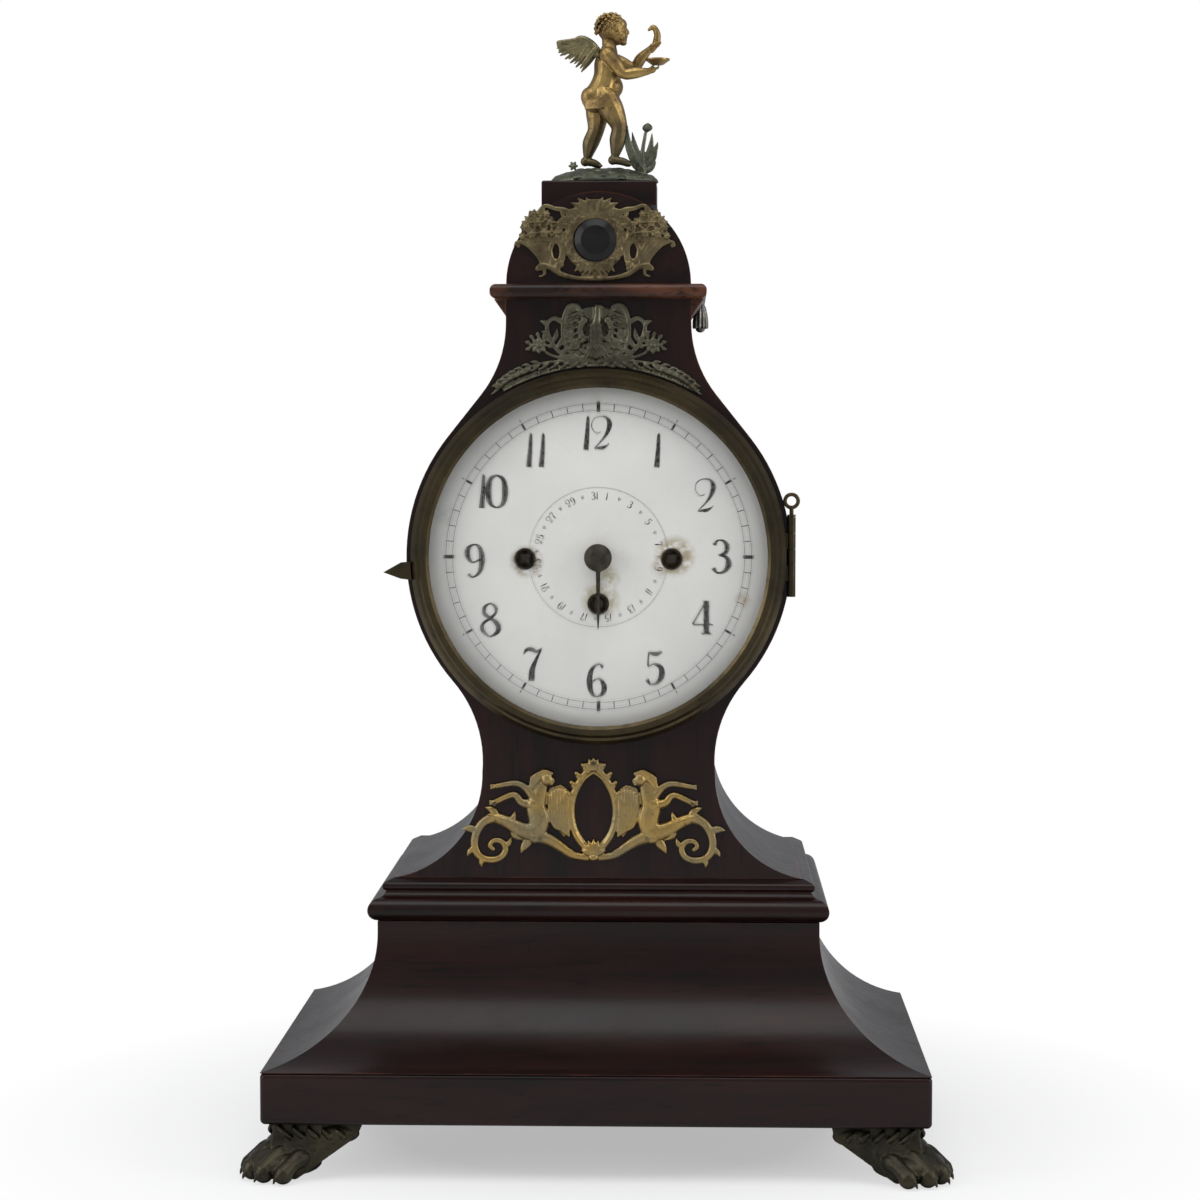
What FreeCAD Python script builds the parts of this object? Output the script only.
import FreeCAD, Part
import math
import os
import Sketcher

# Bracket clock with a waisted case. Millimetres, +Z up, the front faces -Y,
# origin on the floor under the middle of the plinth.
os.makedirs("parts", exist_ok=True)
doc = FreeCAD.newDocument("bracket_clock")
sheet = doc.addObject("Spreadsheet::Sheet", "dims")
Vec = FreeCAD.Vector
nodes = []


# ---------------------------------------------------------------- sizes
class Size:
    """A number that keeps the sheet expression it comes from."""

    def __init__(self, value, text):
        self.value = float(value)
        self.text = text

    def __add__(self, other):
        other = size(other)
        return Size(self.value + other.value, "(%s + %s)" % (self.text, other.text))

    def __sub__(self, other):
        other = size(other)
        return Size(self.value - other.value, "(%s - %s)" % (self.text, other.text))

    def __mul__(self, factor):
        return Size(self.value * factor, "(%s * %.6f)" % (self.text, factor))

    def __neg__(self):
        return self * -1

    __radd__ = __add__
    __rmul__ = __mul__


def size(number):
    if isinstance(number, Size):
        return number
    return Size(number, "(%.6f)" % number)


rows = []


def dim(name, value):
    """Write one driving size into the sheet."""
    rows.append(name)
    cell = "A%d" % len(rows)
    sheet.set(cell, repr(float(value)))
    sheet.setAlias(cell, name)
    return Size(value, "dims.%s" % name)


# ---------------------------------------------------------------- makers
def bind(obj, prop, number):
    number = size(number)
    if "." not in prop:
        setattr(obj, prop, number.value)
    obj.setExpression(prop, number.text)


def place(obj, x, y, z, axis="Z"):
    turn = {"Z": FreeCAD.Rotation(), "X": FreeCAD.Rotation(Vec(0, 1, 0), 90),
            "Y": FreeCAD.Rotation(Vec(1, 0, 0), -90)}[axis]
    x, y, z = size(x), size(y), size(z)
    obj.Placement = FreeCAD.Placement(Vec(x.value, y.value, z.value), turn)
    for letter, number in zip("xyz", (x, y, z)):
        obj.setExpression("Placement.Base.%s" % letter, number.text)
    return obj


def box(x0, x1, y0, y1, z0, z1):
    """Block between two corners."""
    obj = doc.addObject("Part::Box", "Block")
    bind(obj, "Length", size(x1) - x0)
    bind(obj, "Width", size(y1) - y0)
    bind(obj, "Height", size(z1) - z0)
    return place(obj, x0, y0, z0)


def rod(axis, radius, x, y, z, length):
    """Cylinder that starts at x, y, z and runs along the positive axis."""
    obj = doc.addObject("Part::Cylinder", "Rod")
    bind(obj, "Radius", radius)
    bind(obj, "Height", length)
    return place(obj, x, y, z, axis)


def ball(radius, x, y, z):
    obj = doc.addObject("Part::Sphere", "Ball")
    bind(obj, "Radius", radius)
    return place(obj, x, y, z)


def ring(axis, major, minor, x, y, z):
    obj = doc.addObject("Part::Torus", "Ring")
    bind(obj, "Radius1", major)
    bind(obj, "Radius2", minor)
    return place(obj, x, y, z, axis)


def fuse(parts):
    obj = doc.addObject("Part::MultiFuse", "Union")
    obj.Shapes = parts
    obj.Refine = True
    return obj


def cut(base, *tools):
    tool = tools[0] if len(tools) == 1 else fuse(list(tools))
    obj = doc.addObject("Part::Cut", "Difference")
    obj.Base = base
    obj.Tool = tool
    return obj


def common(*parts):
    obj = doc.addObject("Part::MultiCommon", "Overlap")
    obj.Shapes = list(parts)
    return obj


def group(parts):
    obj = doc.addObject("Part::Compound", "Group")
    obj.Links = parts
    return obj


def solid(shape):
    obj = doc.addObject("Part::Feature", "Form")
    obj.Shape = shape
    return obj


def fillet(base, radius, keep=lambda edge: True):
    """Round the edges of a base object that keep() accepts."""
    doc.recompute()
    picked = [n + 1 for n, edge in enumerate(base.Shape.Edges) if keep(edge)]
    obj = doc.addObject("Part::Fillet", "Rounded")
    obj.Base = base
    obj.Edges = [(n, radius, radius) for n in picked]
    return obj


def node(name, obj):
    """Give an object its node name."""
    obj.Label = name
    nodes.append(obj)
    return obj


# Sketch vertices are (u, v, bulge): bulge 0 is a straight side to the next
# vertex, any other value is the radius of an arc, positive to the left side
# of the walk (counter-clockwise arc), negative to the right side.
def arc_between(p, q, radius):
    mid = (p + q) * 0.5
    half = (q - p).Length / 2
    side = Vec(-(q - p).y, (q - p).x, 0).normalize()
    rise = math.sqrt(max(radius * radius - half * half, 0.0))
    centre = mid + side * (rise if radius > 0 else -rise)
    a0 = math.atan2(p.y - centre.y, p.x - centre.x)
    a1 = math.atan2(q.y - centre.y, q.x - centre.x)
    circle = Part.Circle(centre, Vec(0, 0, 1), abs(radius))
    if radius > 0:
        return Part.ArcOfCircle(circle, a0, a1), True
    return Part.ArcOfCircle(circle, a1, a0), False


def sketch(owner, plane, points):
    """Closed outline with every vertex held by a sheet expression."""
    if owner is None:
        obj = doc.addObject("Sketcher::SketchObject", "Outline")
        turn = {"XZ": FreeCAD.Rotation(Vec(1, 0, 0), 90),
                "YZ": FreeCAD.Rotation(Vec(1, 1, 1), 120),
                "XY": FreeCAD.Rotation()}[plane]
        obj.Placement = FreeCAD.Placement(Vec(0, 0, 0), turn)
    else:
        obj = owner.newObject("Sketcher::SketchObject", "Outline")
        flat = [f for f in owner.Origin.OriginFeatures if f.Role == plane + "_Plane"][0]
        obj.AttachmentSupport = [(flat, "")]
        obj.MapMode = "FlatFace"
    sizes = [(size(p[0]), size(p[1])) for p in points]
    spots = [Vec(u.value, v.value, 0) for u, v in sizes]
    ends = []
    for i, spot in enumerate(spots):
        after = spots[(i + 1) % len(spots)]
        bulge = size(points[i][2]) if len(points[i]) > 2 else size(0)
        if bulge.value == 0:
            number = obj.addGeometry(Part.LineSegment(spot, after), False)
            ends.append((number, 1, 2, None))
        else:
            curve, forward = arc_between(spot, after, bulge.value)
            number = obj.addGeometry(curve, False)
            span = bulge if bulge.value > 0 else -bulge
            ends.append((number, 1, 2, span) if forward else (number, 2, 1, span))
    for i, (number, first, last, span) in enumerate(ends):
        following = ends[(i + 1) % len(ends)]
        obj.addConstraint(Sketcher.Constraint("Coincident", number, last,
                                              following[0], following[1]))
    for i, (number, first, last, span) in enumerate(ends):
        for kind, number_size, axis in (("DistanceX", sizes[i][0], -2),
                                        ("DistanceY", sizes[i][1], -1)):
            if number_size.value == 0:
                obj.addConstraint(Sketcher.Constraint("PointOnObject", number, first, axis))
                continue
            index = obj.addConstraint(Sketcher.Constraint(
                kind, -1, 1, number, first, number_size.value))
            obj.setExpression("Constraints[%d]" % index, number_size.text)
        if span is not None:
            index = obj.addConstraint(Sketcher.Constraint("Radius", number, span.value))
            obj.setExpression("Constraints[%d]" % index, span.text)
    return obj


def slab_of(outline, direction, start, length):
    """Extrude an outline along +X or +Y from start."""
    start, length = size(start), size(length)
    obj = doc.addObject("Part::Extrusion", "Prism")
    obj.Base = outline
    obj.DirMode = "Custom"
    obj.Dir = direction
    obj.Solid = True
    bind(obj, "LengthFwd", length)
    letter = "xyz"[[abs(c) for c in direction].index(1.0)]
    outline.setExpression("Placement.Base.%s" % letter, start.text)
    return obj


def prism_y(points, y0, y1):
    return slab_of(sketch(None, "XZ", points), Vec(0, 1, 0), y0, size(y1) - y0)


def prism_x(points, x0, x1):
    return slab_of(sketch(None, "YZ", points), Vec(1, 0, 0), x0, size(x1) - x0)


def turned(points, axis, x, y, z):
    """Spin a profile of (radius, height) points about an axis through x, y, z."""
    outline = sketch(None, "XZ", points)
    obj = doc.addObject("Part::Revolution", "Turned")
    obj.Source = outline
    obj.Base = Vec(0, 0, 0)
    obj.Axis = Vec(0, 0, 1)
    obj.Angle = 360
    obj.Solid = True
    return place(obj, x, y, z, axis)


# ---------------------------------------------------------------- driving sizes
slab_half = dim("slab_half", 170.5)
back_face = dim("back_face", 109.5)
side_to_front = dim("side_to_front", 61)
slab_z0 = dim("slab_z0", 29.5)
slab_z1 = dim("slab_z1", 56)
cove_r = dim("cove_r", 63)
neck_half = dim("neck_half", 115.7)
moulding_z0 = dim("moulding_z0", 125)
body_z0 = dim("body_z0", 147)
front_y = dim("front_y", -47)
board_t = dim("board_t", 10)
wall_t = dim("wall_t", 7)
frame_y0 = dim("frame_y0", 92)
frame_y1 = dim("frame_y1", 101)
dial_z = dim("dial_z", 316)
ball_r = dim("ball_r", 100.5)
foot_half = dim("foot_half", 107)
waist_half = dim("waist_half", 61)
waist_z = dim("waist_z", 203)
flare_r = dim("flare_r", 56)
waist_r = dim("waist_r", 64.5)
shoulder_r = dim("shoulder_r", 60)
top_half = dim("top_half", 48.2)
body_z1 = dim("body_z1", 450.1)
board_z1 = dim("board_z1", 457.6)
arch_r = dim("arch_r", 48)
dial_hole_r = dim("dial_hole_r", 90)
door_hole_r = dim("door_hole_r", 72)
plate_front = dim("plate_front", -30)
plate_back = dim("plate_back", 25)
plate_t = dim("plate_t", 2.5)
plate_half = dim("plate_half", 54)
plate_z0 = dim("plate_z0", 262)
plate_z1 = dim("plate_z1", 384)
latch_x = dim("latch_x", 90.6)


# ---------------------------------------------------------------- case
def edge(off):
    """Right-hand outline of the case walked upwards, drawn in by off."""
    low_x = waist_half - off
    inner = size(off).value
    drop = 115 - math.sqrt((56 + inner) ** 2 - 56 ** 2) if inner else 107
    lean = size(shoulder_r) + off
    return [
        (foot_half + (drop - 107), body_z0, -(flare_r + off)),
        (low_x, waist_z, -(waist_r + off)),
        ((ball_r - off) * 0.758, dial_z - (ball_r - off) * 0.6523, ball_r - off),
        ((ball_r - off) * 0.7837, dial_z + (ball_r - off) * 0.6211),
        (size(108.2) - lean * 0.783, size(437.8) - lean * 0.622, -lean),
        (top_half - off, 437.8),
        (top_half - off, body_z1),
    ]


def bulge_of(point):
    return size(point[2]) if len(point) > 2 else size(0)


def back(points):
    """The same walk the other way."""
    walk = []
    for i in range(len(points) - 1, -1, -1):
        bulge = -bulge_of(points[i - 1]) if i else size(0)
        walk.append((points[i][0], points[i][1], bulge))
    return walk


def mirror(points):
    return [(-size(p[0]), p[1], -bulge_of(p)) for p in points]


def mitred(profile):
    """Moulding that turns the two front corners and stops flush at the back."""
    sides = prism_y(symmetric(profile), -slab_half, back_face)
    front = [(-(size(p[0]) - side_to_front), p[1], -bulge_of(p)) for p in profile]
    walk = back(front) + [(back_face, profile[0][1]), (back_face, profile[-1][1])]
    return common(sides, prism_x(walk, -slab_half, slab_half))


def symmetric(profile):
    """Closed outline from a right-hand edge walked upwards."""
    return profile + back(mirror(profile))


def pierced_board(radius, y_back, thickness):
    """Board with the case outline and a round opening on the dial centre."""
    body = doc.addObject("PartDesign::Body", "Board")
    outline = sketch(body, "XZ", symmetric(edge(0)))
    number = outline.addGeometry(Part.Circle(Vec(0, dial_z.value, 0), Vec(0, 0, 1),
                                             radius.value), False)
    outline.addConstraint(Sketcher.Constraint("PointOnObject", number, 3, -2))
    index = outline.addConstraint(Sketcher.Constraint(
        "DistanceY", -1, 1, number, 3, dial_z.value))
    outline.setExpression("Constraints[%d]" % index, dial_z.text)
    index = outline.addConstraint(Sketcher.Constraint("Radius", number, radius.value))
    outline.setExpression("Constraints[%d]" % index, radius.text)
    pad = body.newObject("PartDesign::Pad", "Pad")
    pad.Profile = outline
    bind(pad, "Length", thickness)
    body.setExpression("Placement.Base.y", size(y_back).text)
    return body


screw_r = dim("screw_r", 2)
screw_head_r = dim("screw_head_r", 3.8)
foot_screw_spots = [(sx * x, sy * y) for sx in (-1, 1) for sy in (-1, 1)
                    for x, y in ((126, 101), (162, 65))]


def foot_screw_holes():
    """Clearance bores for the foot screws, up into the slab."""
    return [rod("Z", screw_r, x, y, slab_z0 - 9.5, 21) for x, y in foot_screw_spots]


node("plinth_slab", cut(fillet(box(-slab_half, slab_half, -back_face, back_face,
                                   slab_z0, slab_z1), 2.5), *foot_screw_holes()))
node("plinth_cove", mitred([(slab_half - 0.3, slab_z1), (slab_half - 0.3, slab_z1 + 0.4, -cove_r),
                            (neck_half, slab_z1 + 63), (neck_half, moulding_z0)]))
node("base_moulding", mitred([(neck_half - 0.7, moulding_z0), (neck_half - 0.2, moulding_z0 + 0.4, 5.9),
                              (neck_half + 0.3, moulding_z0 + 12, -5),
                              (neck_half - 4.1, moulding_z0 + 15.6, 2.45),
                              (neck_half - 4.1, moulding_z0 + 20.3),
                              (neck_half - 8.2, body_z0)]))
node("front_board", pierced_board(dial_hole_r, front_y + board_t, board_t))
node("back_frame", cut(pierced_board(door_hole_r, frame_y1, frame_y1 - frame_y0),
                       rod("Y", 1.5, latch_x, frame_y1 - 5, dial_z, 10)))
right_wall = edge(0) + back(edge(7))
right_side = node("right_side_board", prism_y(right_wall, front_y + board_t, frame_y0))
left_wall = back(mirror(edge(0))) + mirror(edge(7))
left_side = node("left_side_board", prism_y(left_wall, front_y + board_t, frame_y0))
neck_cove = [prism_y([(top_half, 441), (54.6, body_z1), (top_half, body_z1)], -44, 14),
             prism_y([(-top_half, 441), (-top_half, body_z1), (-54.6, body_z1)], -44, 88)]
board = fillet(box(-56.1, 56.1, -56, 104, body_z1, board_z1), 3.2,
               lambda e: abs(e.Curve.Direction.z) < 0.5)
node("top_board", fuse([board] + neck_cove))
arch = common(rod("Y", arch_r, 0, front_y, board_z1, 145),
              box(-60, 60, front_y, 98, board_z1, 520))
node("arch_head", arch)
node("pedestal_block", fillet(cut(box(-30, 30, -38, 6, 499, 512),
                                  rod("Y", arch_r, 0, -40, board_z1, 50)), 1.2,
                              lambda e: e.BoundBox.ZMin > 511.5))
node("seatboard", cut(box(-72.5, 72.5, front_y + board_t, 30, plate_z0 - 12, plate_z0),
                      rod("Z", screw_r, -46, 0, 240, 30), rod("Z", screw_r, 46, 0, 240, 30),
                      left_side, right_side))


# ---------------------------------------------------------------- cast forms
def turn_to(direction):
    return FreeCAD.Rotation(Vec(0, 0, 1), direction)


def blob(rx, ry, rz, x, y, z, tilt=0, axis=(0, 0, 1)):
    """Ellipsoid turned by tilt degrees about axis."""
    obj = doc.addObject("Part::Ellipsoid", "Swell")
    obj.Radius1 = rz
    obj.Radius2 = rx
    obj.Radius3 = ry
    obj.Angle1 = -90
    obj.Angle2 = 90
    obj.Placement = FreeCAD.Placement(Vec(x, y, z), FreeCAD.Rotation(Vec(*axis), tilt))
    return obj


def limb(a, b, ra, rb):
    """Tapered round bar between two points."""
    a, b = Vec(*a), Vec(*b)
    if abs(ra - rb) < 0.01:
        obj = doc.addObject("Part::Cylinder", "Bar")
        obj.Radius = ra
    else:
        obj = doc.addObject("Part::Cone", "Bar")
        obj.Radius1 = ra
        obj.Radius2 = rb
    obj.Height = (b - a).Length
    obj.Placement = FreeCAD.Placement(a, turn_to(b - a))
    return obj


def vine(points, width, y0, y1):
    """Flat bar of round-ended runs from y0 to y1, with a width at every point."""
    parts = []
    for i, (x, z) in enumerate(points):
        w = width[i]
        parts.append(Part.makeCylinder(w / 2.0, y1 - y0, Vec(x, y0, z), Vec(0, 1, 0)))
        if i + 1 == len(points):
            break
        v = width[i + 1]
        a, b = Vec(x, y0, z), Vec(points[i + 1][0], y0, points[i + 1][1])
        side = (b - a).cross(Vec(0, 1, 0)).normalize()
        quad = [a + side * w / 2, b + side * v / 2, b - side * v / 2, a - side * w / 2]
        face = Part.Face(Part.makePolygon(quad + [quad[0]]))
        parts.append(face.extrude(Vec(0, y1 - y0, 0)))
    return parts


def casting(parts):
    """One solid from overlapping pieces."""
    shape = parts[0].multiFuse(parts[1:])
    shape = shape.removeSplitter()
    if len(shape.Solids) == 1:
        shape = shape.Solids[0]
    return solid(shape)


def disc(radius, x, z, y0, y1):
    return Part.makeCylinder(radius, y1 - y0, Vec(x, y0, z), Vec(0, 1, 0))


def haunch(low, high):
    """Block that narrows from the whole foot plate down to the paw."""
    obj = doc.addObject("Part::Wedge", "Haunch")
    for name, number in (("Xmin", -172), ("Xmax", -156), ("X2min", -167), ("X2max", -121),
                         ("Zmin", 95), ("Zmax", 110), ("Z2min", 60), ("Z2max", 106)):
        setattr(obj, name, number)
    bind(obj, "Ymin", low)
    bind(obj, "Ymax", high)
    obj.Placement = FreeCAD.Placement(Vec(0, 0, 0), FreeCAD.Rotation(Vec(1, 0, 0), 90))
    return obj


def foot():
    """Lion's paw pointing out of the front left corner, flat on the floor."""
    def at(along, across=0.0):
        return (-153 - 0.7071 * (along - across), -89 - 0.7071 * (along + across))

    plate_z = slab_z0 - 4
    parts = [box(-167, -121, -106, -60, plate_z, slab_z0), haunch(1.5, plate_z)]
    parts.append(blob(25, 19, 15, *at(-12), 20, 45))
    parts.append(blob(24, 16, 10, *at(8), 11, 45))
    parts.append(blob(15, 19, 9, *at(20), 7, 45))
    for across, along in ((-13.5, 25), (-4.7, 30), (4.7, 30), (13.5, 25)):
        parts.append(blob(9, 5.2, 6.4, *at(along, across), 5.2, 45))
    body = common(fuse(parts), box(-210, -90, -150, -30, 0, slab_z0))
    head_bores = [rod("Z", screw_head_r + 0.4, x, y, 0, plate_z) for x, y in foot_screw_spots
                  if x < 0 and y < 0]
    return cut(body, *(foot_screw_holes() + head_bores))


def mirrored(obj, normal):
    twin = doc.addObject("Part::Mirroring", "Twin")
    twin.Source = obj
    twin.Normal = normal
    return twin


to_right, to_rear = Vec(1, 0, 0), Vec(0, 1, 0)
front_left = node("foot_front_left", foot())
node("foot_front_right", mirrored(front_left, to_right))
rear_left = node("foot_rear_left", mirrored(front_left, to_rear))
node("foot_rear_right", mirrored(rear_left, to_right))


def wood_screw(x, y, z):
    return fuse([rod("Z", screw_r, x, y, z, 15.5),
                 rod("Z", screw_head_r, x, y, size(z) - 1.4, 1.4)])


node("wood_screws", group([wood_screw(x, y, slab_z0 - 4) for x, y in foot_screw_spots]
                          + [wood_screw(x, 0, plate_z0 - 12) for x in (-46, 46)]
                          + [fuse([rod("Y", 1.5, latch_x, frame_y1 - 5, dial_z, 13.1),
                                   rod("Y", 2.9, latch_x, 109.1, dial_z, 0.4)])]))

# ---------------------------------------------------------------- mounts
mount_y = front_y.value
relief = mount_y - 3.0
boss_x, boss_z = -1.5, 480.4

node("wreath_boss", turned([(0, 0), (7.5, 0), (10.8, 1.6), (10.8, 4), (0, 4)], "Y",
                           boss_x, front_y - 4, boss_z))


def across(middle, side, points):
    """Points measured from an upright middle line to one side of it."""
    return [(middle + side * x, z) for x, z in points]


head = [disc(15.4, boss_x, boss_z, relief, mount_y).cut(
    disc(10.8, boss_x, boss_z, relief - 1, mount_y + 1))]
for s in (-1, 1):
    for points, width in (
            ([(0, 494), (5, 500), (8, 496), (12, 490)], [6, 4, 4, 4]),
            ([(14, 480), (24, 485.5), (32, 480), (40, 477.5)], [5, 15, 8, 4]),
            ([(40, 477.5), (36, 469), (29, 463.5), (15, 463), (0, 461.5)], [4, 3.4, 5.5, 3.6, 5]),
            ([(11, 470), (18, 467), (25, 473), (30, 482)], [3, 3, 3, 3])):
        head += vine(across(boss_x, s, points), width, relief, mount_y)
node("head_mount", casting(head))

# The crest plate stands on a laurel band that follows the dial opening.
frieze_x = -2.0
crest_z = 433.0
band_r = 100.4
band = []
for i in range(13):
    turn = math.radians(58 + 64 * i / 12)
    band.append((band_r * math.cos(turn), dial_z.value + band_r * math.sin(turn)))
frieze = vine(band, [4] * len(band), relief, mount_y)
frieze.append(disc(14.6, frieze_x, crest_z, relief, mount_y))
for s in (-1, 1):
    for points, width in (
            ([(51, 405), (45, 412), (40, 424), (38, 432)], [4, 4, 5, 4]),
            ([(31, 424), (38, 416), (42, 408)], [11, 6, 4]),
            ([(31, 424), (18, 421), (6, 420)], [9, 6, 6]),
            ([(9, 422), (19, 424), (25, 431), (22, 438), (15, 436)], [4, 4, 3.4, 3.4, 5]),
            ([(4, 434), (11, 441), (18, 446)], [8, 7, 5])):
        frieze += vine(across(frieze_x, s, points), width, relief, mount_y)
frieze += vine([(frieze_x, 432), (frieze_x, 444.5)], [16, 8], relief, mount_y)
node("frieze_mount", casting(frieze))

# Pointed oval frame between two winged figures with scrolled tails.
low_x = -2.6
lower = []
for s in (-1, 1):
    for points, width in (
            ([(0, 208), (7, 200), (12.5, 188), (13, 176), (8, 164), (0, 157)],
             [7, 5, 4.6, 4.6, 5.4, 9]),
            ([(32, 168), (29, 180), (28, 192), (27, 198.5)], [10, 12, 9, 9]),
            ([(21, 192), (18, 182), (15, 171)], [8, 10, 5]),
            ([(29, 188), (40, 192), (53, 195.5)], [9, 5, 4]),
            ([(40, 191), (46, 188), (54, 186)], [5, 4, 4]),
            ([(31, 171), (43, 176.7), (53, 180.8), (61, 173.6), (62.5, 162.4), (57.5, 157.3),
              (47, 158.3), (44.5, 163.4), (48.5, 168)], [10, 8, 6, 5, 4.6, 4, 4, 4, 4]),
            ([(0, 157), (11.2, 159.3), (19.4, 166), (28, 168.5)], [9, 5, 6, 8]),
            ([(28, 168), (37, 161)], [8, 3])):
        lower += vine(across(low_x, s, points), width, relief, mount_y)
node("lower_mount", casting(lower))

pins = []
for x, z in ((boss_x - 40, 477.5), (boss_x + 40, 477.5), (boss_x, 461.5),
             (frieze_x - 51, 405), (frieze_x + 51, 405), (frieze_x - 15, 436),
             (frieze_x + 15, 436), (low_x - 52, 186.5), (low_x + 52, 186.5),
             (low_x - 28, 168.5), (low_x + 28, 168.5), (low_x, 208)):
    pins.append(rod("Y", 1.1, x, relief - 0.7, z, 0.7))
node("mount_pins", group(pins))

node("side_pendant", turned([(0, 0), (1.6, 1), (2.2, 3), (4.4, 5), (4.7, 9), (2.8, 12.5),
                             (2.2, 13.6), (0, 13.6)], "Z", 53.2, 20, body_z1 - 13.6))


# ---------------------------------------------------------------- figure
figure_y = -19
ground = common(blob(29.7, 19, 9, 2.3, -17.5, 512), box(-28, 33, -37, 5, 512, 522))


def man(x, z, y=0):
    return (x, figure_y + y, z)


flesh = [ball(9, 6.3, figure_y, 592.4)]
flesh.append(limb(man(4.6, 578), man(5.6, 587), 5.0, 3.8))
flesh.append(blob(8, 9, 10.5, *man(3.6, 574.5), 8, (0, 1, 0)))
flesh.append(blob(9.2, 9, 9.5, *man(4.4, 562)))
flesh.append(blob(8, 9, 8, *man(-0.4, 556)))
for side, hip, knee, ankle, toe in (
        (-4.6, (4.5, 555), (10.5, 540), (8.2, 526), (15.5, 521.6)),
        (4.6, (-1.5, 555), (-2.6, 539), (-6.4, 525), (-1.0, 521.4))):
    flesh.append(limb(man(*hip, side), man(*knee, side), 6.6, 4.4))
    flesh.append(ball(4.5, *man(*knee, side)))
    flesh.append(limb(man(*knee, side), man(*ankle, side), 4.4, 2.8))
    flesh.append(ball(3.1, *man(*ankle, side)))
    flesh.append(blob(5.6, 2.9, 2.2, *man((ankle[0] + toe[0]) / 2 + 0.6,
                                          (ankle[1] + toe[1]) / 2 - 1.2, side),
                      20, (0, 1, 0)))
for side, elbow, hand in ((-8, (12, 568), (26.5, 570.6)), (8, (18.4, 573.6), (26.6, 583.5))):
    flesh.append(ball(4.2, *man(4.6, 578.5, side)))
    flesh.append(limb(man(4.6, 578.5, side), man(*elbow, side), 3.9, 3.1))
    flesh.append(ball(3.2, *man(*elbow, side)))
    flesh.append(limb(man(*elbow, side), man(*hand, side * 0.8), 3.1, 2.1))
    flesh.append(ball(2.7, *man(*hand, side * 0.8)))

for side in (-1, 1):
    flesh += ([blob(11.5, 1.5, 6.4, -11, figure_y + side * 8, 580, -6 * side, (0, 0, 1)),
                 blob(8.5, 1.4, 4.6, -13, figure_y + side * 8.5, 575.5, 24, (0, 1, 0)),
                 blob(6.5, 1.4, 4.8, -7.5, figure_y + side * 8, 584, -30, (0, 1, 0))])
flesh += [limb(man(26.6, 584.5, 6.4), man(29.4, 590, 6.4), 2.6, 2.0), ball(2.2, *man(29.4, 590, 6.4)),
          limb(man(29.4, 590, 6.4), man(26.0, 594.4, 6.4), 1.9, 1.4), ball(1.6, *man(26.0, 594.4, 6.4))]
cherub = node("cherub_figure", fuse(flesh))
node("offering_dish", cut(fuse([
    turned([(0, 0), (3.0, 0), (6.4, 2.4), (6.4, 3.2), (0, 1.2)], "Z", 30.3,
           figure_y - 6.4, 572.9),
    ball(1.9, 30.3, figure_y - 6.4, 574.9)]), cherub))
sprig = [limb((22.6, -24, 517), (24.4, -24, 539), 1.5, 1.0),
         ball(2.6, 25.6, -24, 540.6), limb((24.2, -24, 538), (25.6, -24, 540.6), 1.0, 1.4)]
for a, b in (((22.9, 520), (14.4, 542)), ((22.7, 519), (14.4, 535)),
             ((23.3, 523), (30.0, 533.4)), ((23.0, 520), (29.6, 528.4))):
    sprig.append(limb((a[0], -24, a[1]), ((a[0] + b[0]) / 2, -24, (a[1] + b[1]) / 2), 0.9, 1.9))
    sprig.append(limb(((a[0] + b[0]) / 2, -24, (a[1] + b[1]) / 2), (b[0], -24, b[1]), 1.9, 0.4))
node("figure_ground", cut(fuse([ground] + sprig), cherub))


# ---------------------------------------------------------------- bezel and hinge
bezel_back = dim("bezel_back", -47.3)
bezel_front = dim("bezel_front", -58)
bezel_r = dim("bezel_r", 97.9)
sight_r = dim("sight_r", 88)
glass_y = dim("glass_y", -55.4)
hinge_x = dim("hinge_x", 100.4)
hinge_y = dim("hinge_y", -49.6)
hinge_r = dim("hinge_r", 2.2)
pin_r = dim("pin_r", 1.1)
fit = dim("fit", 0.05)
knuckle = dim("knuckle", 8.3)
hinge_z0 = dial_z - 20.6


def knuckles(numbers, x, y, z0, radius, hole):
    """Hinge barrels, counted from the bottom, with a running gap between them."""
    tubes = []
    for n in numbers:
        start = z0 + knuckle * n + 0.08
        tubes.append(cut(rod("Z", radius, x, y, start, knuckle - 0.16),
                         rod("Z", hole, x, y, start - 1, knuckle + 2)))
    return tubes


glass_bow = (87.6 ** 2 + 16 ** 2) / 32.0
ring_body = turned([(sight_r, 1.0), (sight_r + 1.6, 0, 0), (sight_r + 4.6, 0, 0),
                    (sight_r + 6.2, 2.2), (sight_r + 7.6, 2.4), (bezel_r, 5.4),
                    (bezel_r, bezel_back - bezel_front), (sight_r + 2.4, bezel_back - bezel_front),
                    (sight_r + 2.4, glass_y - bezel_front), (sight_r, glass_y - bezel_front)],
                   "Y", 0, bezel_front, dial_z)
web = box(95.5, hinge_x - 1.6, hinge_y - 1.2, hinge_y + 1.2, hinge_z0 + knuckle + 0.08,
          hinge_z0 + knuckle * 2 - 0.08)
web_top = box(95.5, hinge_x - 1.6, hinge_y - 1.2, hinge_y + 1.2, hinge_z0 + knuckle * 3 + 0.08,
              hinge_z0 + knuckle * 4 - 0.08)
node("bezel_hinge_leaf", fuse([cut(web, rod("Y", bezel_r, 0, -60, dial_z, 20)),
                               cut(web_top, rod("Y", bezel_r, 0, -60, dial_z, 20))]
                              + knuckles((1, 3), hinge_x, hinge_y, hinge_z0, hinge_r,
                                         pin_r + fit)))
node("bezel_glass", turned([(0, -16, glass_bow), (87.6, 0), (sight_r + 2.2, 0),
                            (sight_r + 2.2, 1.8), (86.8, 1.8, -(glass_bow - 1.8)), (0, -14.2)],
                           "Y", 0, glass_y, dial_z))
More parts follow.
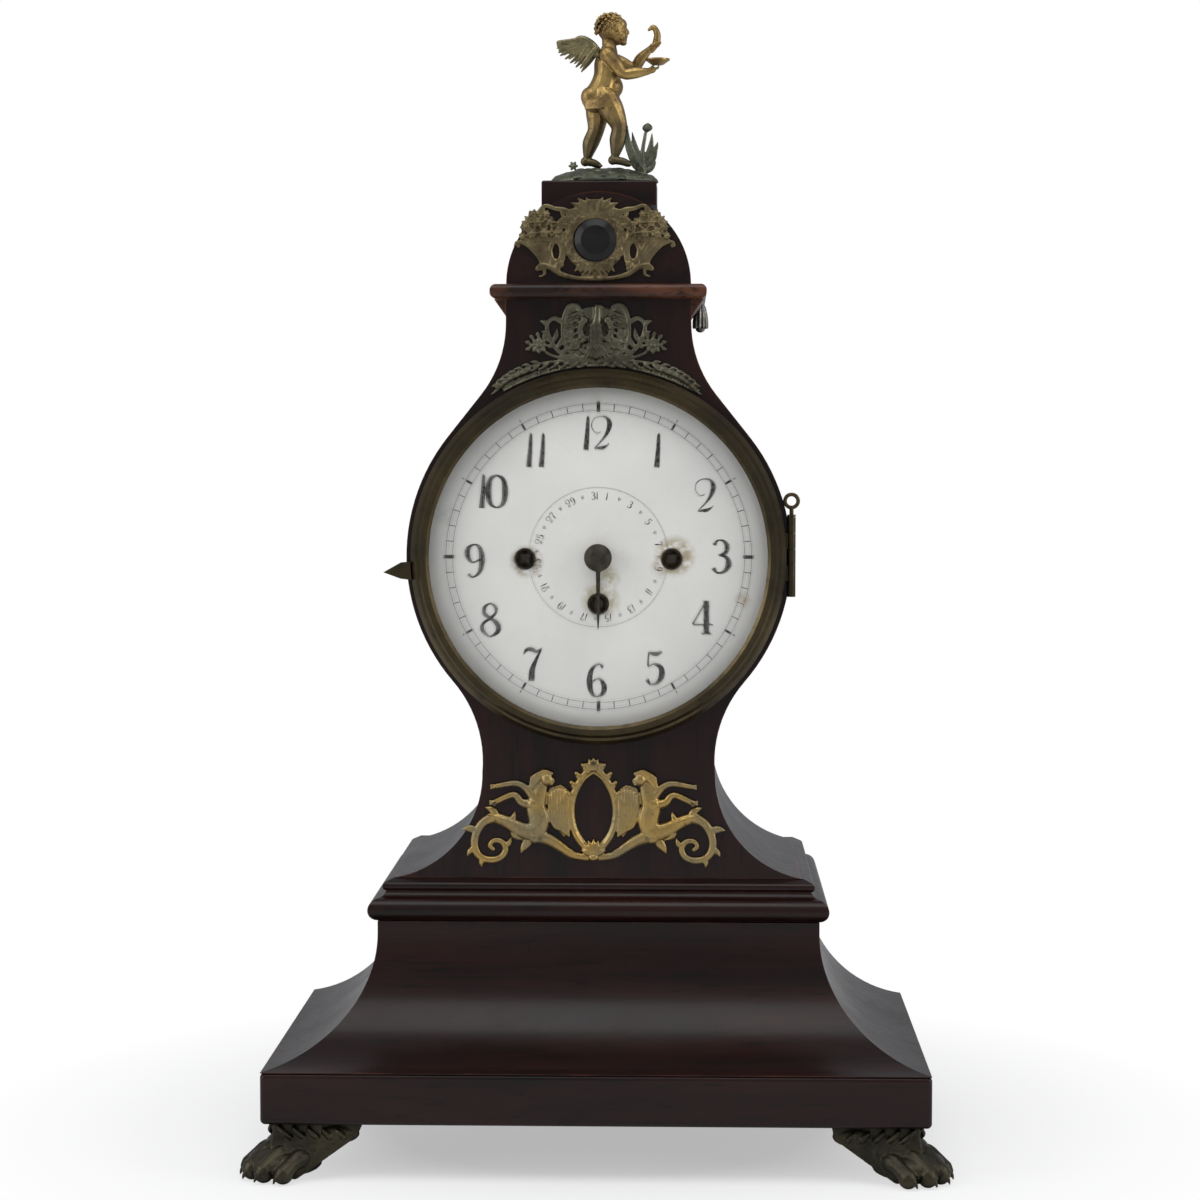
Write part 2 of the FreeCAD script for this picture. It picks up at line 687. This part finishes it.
tab = prism_y([(-96.5, dial_z - 12), (-103, dial_z - 11.2), (-112, dial_z - 7.9),
               (-103, dial_z - 2.8), (-96.5, dial_z - 2.2)], -54, -51.4)
node("bezel_ring", fuse([ring_body, cut(tab, rod("Y", bezel_r, 0, -60, dial_z, 20))]))
leaf_tube = cut(rod("Y", ball_r + 1.1, 0, hinge_y, dial_z, 22),
                rod("Y", ball_r, 0, hinge_y - 1, dial_z, 24),
                box(95, 105, -53, -46.9, hinge_z0 + knuckle - 0.1, hinge_z0 + knuckle * 2 + 0.1),
                box(95, 105, -53, -46.9, hinge_z0 + knuckle * 3 - 0.1,
                    hinge_z0 + knuckle * 4 + 0.1))
node("case_hinge_leaf", cut(fuse([common(leaf_tube, box(95, 104, hinge_y, -30, hinge_z0,
                                                    hinge_z0 + knuckle * 5))]
                                 + knuckles((0, 2, 4), hinge_x, hinge_y, hinge_z0, hinge_r,
                                            pin_r + fit)),
                            rod("Z", pin_r + fit, hinge_x, hinge_y, hinge_z0 - 5, 60)))
node("hinge_pin", fuse([rod("Z", pin_r, hinge_x, hinge_y, hinge_z0, knuckle * 5 + 6),
                        rod("Z", hinge_r, hinge_x, hinge_y, hinge_z0 + knuckle * 5 + 0.1, 1.2),
                        ring("Y", 3.4, 1.0, hinge_x, hinge_y,
                             hinge_z0 + knuckle * 5 + 8.4)]))

# ---------------------------------------------------------------- rear door
door_y0 = dim("door_y0", 101.3)
door_y1 = dim("door_y1", 107)
door_r = dim("door_r", 84)
pane_r = dim("pane_r", 66)
rear_x = dim("rear_x", -87.4)
rear_y = dim("rear_y", 104.2)
node("rear_door_ring", turned([(pane_r, 0), (door_r, 0), (door_r, 4.2), (door_r - 1.5, 5.7),
                               (pane_r + 3, 5.7), (pane_r, 4.2), (pane_r, 3.2),
                               (pane_r + 2, 3.2), (pane_r + 2, 1.2), (pane_r, 1.2)],
                              "Y", 0, door_y0, dial_z))
node("rear_glass", turned([(0, 0), (pane_r + 2, 0), (pane_r + 2, 2), (0, 2)], "Y",
                          0, door_y0 + 1.2, dial_z))
rear_tubes = []
for z in (dial_z - 28, dial_z + 20):
    rear_tubes.append(fuse([cut(rod("Z", hinge_r, rear_x, rear_y, z, 8),
                                rod("Z", pin_r + fit, rear_x, rear_y, z - 1, 10)),
                            cut(box(rear_x + 1.5, -74, rear_y - 0.7, rear_y + 0.7, z, z + 8),
                                rod("Y", door_r, 0, 95, dial_z, 20))]))
node("rear_door_hinges", group(rear_tubes))
fixed = []
for z in (dial_z - 28, dial_z + 20):
    for start in (z - 5.1, z + 8.1):
        fixed.append(rod("Z", hinge_r, rear_x, rear_y, start, 5))
        fixed.append(box(rear_x - 1.2, rear_x + 1.2, frame_y1, rear_y, start, start + 5))
    fixed.append(rod("Z", pin_r, rear_x, rear_y, z - 5, 18))
    fixed.append(box(rear_x - 6.5, rear_x - 2.6, frame_y1, frame_y1 + 0.9,
                     z - 5.1, z + 13.1))
    for start in (z - 5.1, z + 8.1):
        fixed.append(box(rear_x - 3, rear_x, frame_y1, frame_y1 + 0.9, start, start + 5))
node("rear_hinge_plates", group([fuse(fixed[:len(fixed) // 2]), fuse(fixed[len(fixed) // 2:])]))
node("rear_latch", cut(fuse([rod("Y", 3.4, latch_x, frame_y1 + 0.2, dial_z, door_y1 - frame_y1 + 0.1),
                             box(87.2, 94, door_y1 + 0.3, door_y1 + 2, dial_z - 14.6, dial_z + 3.4)]),
                       rod("Y", fit + 1.5, latch_x, 95, dial_z, 20)))


# ---------------------------------------------------------------- dial
dial_rim = dim("dial_rim", -46)
wind_x = dim("wind_x", 38.2)
wind_drop = dim("wind_drop", 0.9)
going_drop = dim("going_drop", 24.3)
wind_spots = ((-wind_x, dial_z - wind_drop), (wind_x, dial_z - wind_drop),
              (0, dial_z - going_drop))
dial_bow = (89 ** 2 + 6 ** 2) / 12.0


def wind_holes(radius):
    return [rod("Y", radius, x, -60, z, 25) for x, z in wind_spots]


dial = node("dial_plate", cut(turned([(4.8, -5.98, dial_bow), (89, 0), (89, 1.6),
                               (85, 1.6, -(dial_bow - 1.6)), (4.8, -3.85)],
                              "Y", 0, dial_rim, dial_z), *wind_holes(5.7)))
sleeves = []
for (x, z), front in zip(wind_spots, (-51.5, -51.5, -52.2)):
    sleeves.append(cut(rod("Y", 5.7, x, front, z, 4.4), rod("Y", 4.9, x, front - 1, z, 8)))
node("winding_sleeves", group(sleeves))
node("dial_feet", cut(fuse([rod("Y", 2.5, x, -48.6, dial_z + z, plate_front + 48.6)
                            for x in (-46, 46) for z in (-40, 40)]), dial))


# ---------------------------------------------------------------- gearing
def toothed(count, module, x, z, y0, y1, facing, pinion=False, bore=0):
    """Wheel with a tooth at the angle facing, or pinion with a gap there."""
    pitch = count * module / 2.0
    step = 2 * math.pi / count
    thick = step * (0.36 if pinion else 0.44) / 2
    if pinion:
        flank = ((-1.55, -1), (0, -1), (0.55, -0.35), (0.55, 0.35), (0, 1), (-1.55, 1))
        start = facing + step / 2
    else:
        flank = ((-1.3, -1.05), (0, -1), (0.62, -0.58), (1, -0.12), (1, 0.12), (0.62, 0.58),
                (0, 1), (-1.3, 1.05))
        start = facing
    points = []
    for i in range(count):
        for out, turn in flank:
            r = pitch + out * module
            a = start + i * step + turn * thick
            points.append(Vec(x + r * math.cos(a), y0, z + r * math.sin(a)))
    face = Part.Face(Part.makePolygon(points + [points[0]]))
    shape = face.extrude(Vec(0, y1 - y0, 0))
    if bore:
        shape = shape.cut(disc(bore, x, z, y0 - 1, y1 + 1))
    return solid(shape)


up = math.pi / 2
centre = (0.0, dial_z.value)
third = (0.0, dial_z.value + 22)
escape = (0.0, dial_z.value + 39.43)
pivot = (0.0, dial_z.value + 59.4)
minute_turn = math.radians(20)
minute = (18.48 * math.cos(minute_turn), centre[1] + 18.48 * math.sin(minute_turn))
hammer_right = (46.0, 374.0)
hammer_left = (-46.0, 374.0)
arbor_r = dim("arbor_r", 1.1)
wind_r = dim("wind_r", 2.6)
arbor_y0 = plate_front - 1
arbor_span = plate_back + plate_t + 0.5 - arbor_y0

front_holes = [rod("Y", arbor_r + fit, x, plate_front - 5, z, 12)
               for x, z in (centre, third, escape, pivot, minute, hammer_right, hammer_left)]
back_holes = [rod("Y", arbor_r + fit, x, plate_back - 5, z, 12)
              for x, z in (centre, third, escape, pivot, hammer_right, hammer_left)]
front_holes += [rod("Y", wind_r + fit, x, plate_front - 5, z, 12) for x, z in wind_spots]
back_holes += [rod("Y", wind_r + fit, x, plate_back - 5, z, 12) for x, z in wind_spots]
node("front_plate", cut(box(-plate_half, plate_half, plate_front, plate_front + plate_t,
                            plate_z0, plate_z1), *front_holes))
node("back_plate", cut(box(-plate_half, plate_half, plate_back, plate_back + plate_t,
                           plate_z0, plate_z1), *back_holes))
node("plate_pillars", group([rod("Y", 4.5 if z < 300 else 3.5, x, plate_front + plate_t, z,
                                 plate_back - plate_front - plate_t)
                             for x, z in ((-46, 270), (46, 270), (-28, 378), (28, 378))]))
node("back_cock", fuse([box(-16, 16, 44, 46.5, 370, 381),
                        box(-16, -12.5, plate_back + plate_t, 44, 370, 381),
                        box(12.5, 16, plate_back + plate_t, 44, 370, 381),
                        rod("Y", arbor_r, 0, 33.5, pivot[1], 12)]))
node("bell_stand", fuse([box(-6, 6, 13, plate_back, plate_z1 - 5.5, plate_z1),
                         rod("Z", 3.4, 0, 18, plate_z1, 29.7), rod("Z", 2, 0, 18, 413, 3.2),
                         rod("Z", 3.4, 0, 18, 416, 17.8), rod("Z", 2, 0, 18, 433, 3.2),
                         rod("Z", 4, 0, 18, 436, 2.5)]))
node("hour_bell", turned([(28, 0), (30, 0, 33), (2, 20), (2, 18.2, -31)], "Z", 0, 18, 396))
node("quarter_bell", turned([(18.4, 0), (20, 0, 22), (2, 14), (2, 12.4, -20.4)], "Z",
                            0, 18, 422))

# ---------------------------------------------------------------- turning parts
for name, (x, z) in zip(("left", "right", "going"), wind_spots):
    node("spring_barrel_" + name, fuse([
        box(size(x) - 2.2, size(x) + 2.2, -49, -44, size(z) - 2.2, size(z) + 2.2),
        rod("Y", wind_r, x, -44, z, 72.5), rod("Y", 17, x, -20, z, 34),
        rod("Y", 6, x, -21.5, z, 1.5),
        toothed(84, 0.5, size(x).value, size(z).value, -24, -21.5, up)]))

node("centre_arbor", fuse([
    rod("Y", arbor_r, 0, -58, dial_z, 86.5),
    rod("Y", 2.6, 0, -57.5, dial_z, 26), rod("Y", 4.2, 0, 14, dial_z, 4.5),
    turned([(0, 0), (4, 0.2), (7.2, 1.6), (7.2, 3), (0, 3)], "Y", 0, -60.5, dial_z),
    toothed(30, 0.56, 0, dial_z.value, -33.2, -31.6, minute_turn, True),
    toothed(80, 0.5, 0, dial_z.value, 18, 20, up)]))
node("minute_wheel", fuse([
    rod("Y", arbor_r, minute[0], -38, minute[1], 12), rod("Y", 1.5, minute[0], -34, minute[1], 1),
    toothed(36, 0.56, minute[0], minute[1], -33.2, -31.6, minute_turn + math.pi),
    toothed(8, 0.42, minute[0], minute[1], -37.2, -34.6, minute_turn + math.pi, True)]))
node("hour_wheel", cut(fuse([rod("Y", 3.6, 0, -56.8, dial_z, 21.8),
                             toothed(80, 0.42, 0, dial_z.value, -36.6, -35.1, minute_turn)]),
                       rod("Y", 2.65, 0, -60, dial_z, 30)))
node("date_wheel", cut(fuse([rod("Y", 4.5, 0, -55.4, dial_z, 16.9),
                             toothed(62, 0.56, 0, dial_z.value, -39.7, -38.5, up)]),
                       rod("Y", 3.65, 0, -60, dial_z, 30)))
node("date_hand", cut(casting(vine([(0, 316), (0, 308), (0, 284), (0, 279)],
                                   [9.6, 2.4, 1.3, 0.5], -54.8, -54.0)),
                      rod("Y", 4.5, 0, -60, dial_z, 10)))
node("third_wheel", fuse([
    rod("Y", arbor_r, third[0], arbor_y0, third[1], arbor_span),
    toothed(70, 0.42, third[0], third[1], 10, 12, up),
    toothed(8, 0.5, third[0], third[1], 15, 22, -up, True)]))
node("escape_wheel", fuse([
    rod("Y", arbor_r, escape[0], arbor_y0, escape[1], arbor_span),
    toothed(30, 0.8, escape[0], escape[1], 2, 4, up),
    toothed(8, 0.42, escape[0], escape[1], -6, 0, -up, True)]))
pallets = vine([(-11.6, 367), (-10.8, 371), (0, pivot[1]), (10.8, 371), (11.6, 367)],
               [1.2, 2.6, 5, 2.6, 1.2], 2, 4)
crutch = vine([(0, pivot[1]), (0, 338)], [5, 2.6], 29, 31)
crutch += vine([(-2.7, 337), (2.7, 337)], [2.4, 2.4], 29, 31)
crutch += [disc(0.8, -2.7, 337, 31, 41), disc(0.8, 2.7, 337, 31, 41)]
node("anchor", fuse([casting(pallets), casting(crutch),
                     rod("Y", arbor_r, 0, arbor_y0, pivot[1], 62)]))
node("pendulum_rod", cut(fuse([rod("Y", 4.2, 0, 35, pivot[1], 6),
                               rod("Z", 1.5, 0, 38, 163.5, pivot[1] - 163.5),
                               rod("Z", 3.6, 0, 38, 166, 3.4)]),
                         rod("Y", arbor_r + fit, 0, 30, pivot[1], 20)))
node("pendulum_bob", cut(turned([(0, -4.6), (14, -3.4), (20, -0.5), (20, 0.5), (14, 3.4),
                                 (0, 4.6)], "Y", 0, 38, 190),
                         rod("Z", 1.5, 0, 38, 160, 60)))
for name, (x, z), tip in (("right", hammer_right, [(42, 398)]),
                          ("left", hammer_left, [(-36, 402), (-28, 425)])):
    bits = [rod("Y", arbor_r, x, arbor_y0, z, arbor_span), rod("Y", 3, x, 15, z, 6)]
    here = (x, z)
    for there in tip:
        bits.append(limb((here[0], 18, here[1]), (there[0], 18, there[1]), 1.5, 1.5))
        bits.append(ball(1.8, there[0], 18, there[1]))
        here = there
    start = 33.5 if x > 0 else -33
    bits.append(rod("X", 3, start, 18, here[1], 10))
    node("hammer_" + name, fuse(bits))


# ---------------------------------------------------------------- write
doc.recompute()
for obj in doc.Objects:
    bad = [word for word in obj.State if word in ("Invalid", "Error")]
    if bad:
        raise RuntimeError("%s %s is %s" % (obj.Name, obj.Label, bad))
for obj in nodes:
    shape = obj.Shape
    if shape.isNull() or not shape.isValid() or not shape.Solids:
        raise RuntimeError("%s is not a valid solid" % obj.Label)
for obj in nodes:
    obj.Shape.exportStep("parts/%s.step" % obj.Label)
    frame = obj.Shape.optimalBoundingBox(False)
    print("%-22s %6.1f %6.1f %6.1f  %6.1f %6.1f %6.1f  n=%d v=%.0f" % (
        obj.Label, frame.XMin, frame.YMin, frame.ZMin, frame.XMax, frame.YMax,
        frame.ZMax, len(obj.Shape.Solids), obj.Shape.Volume))
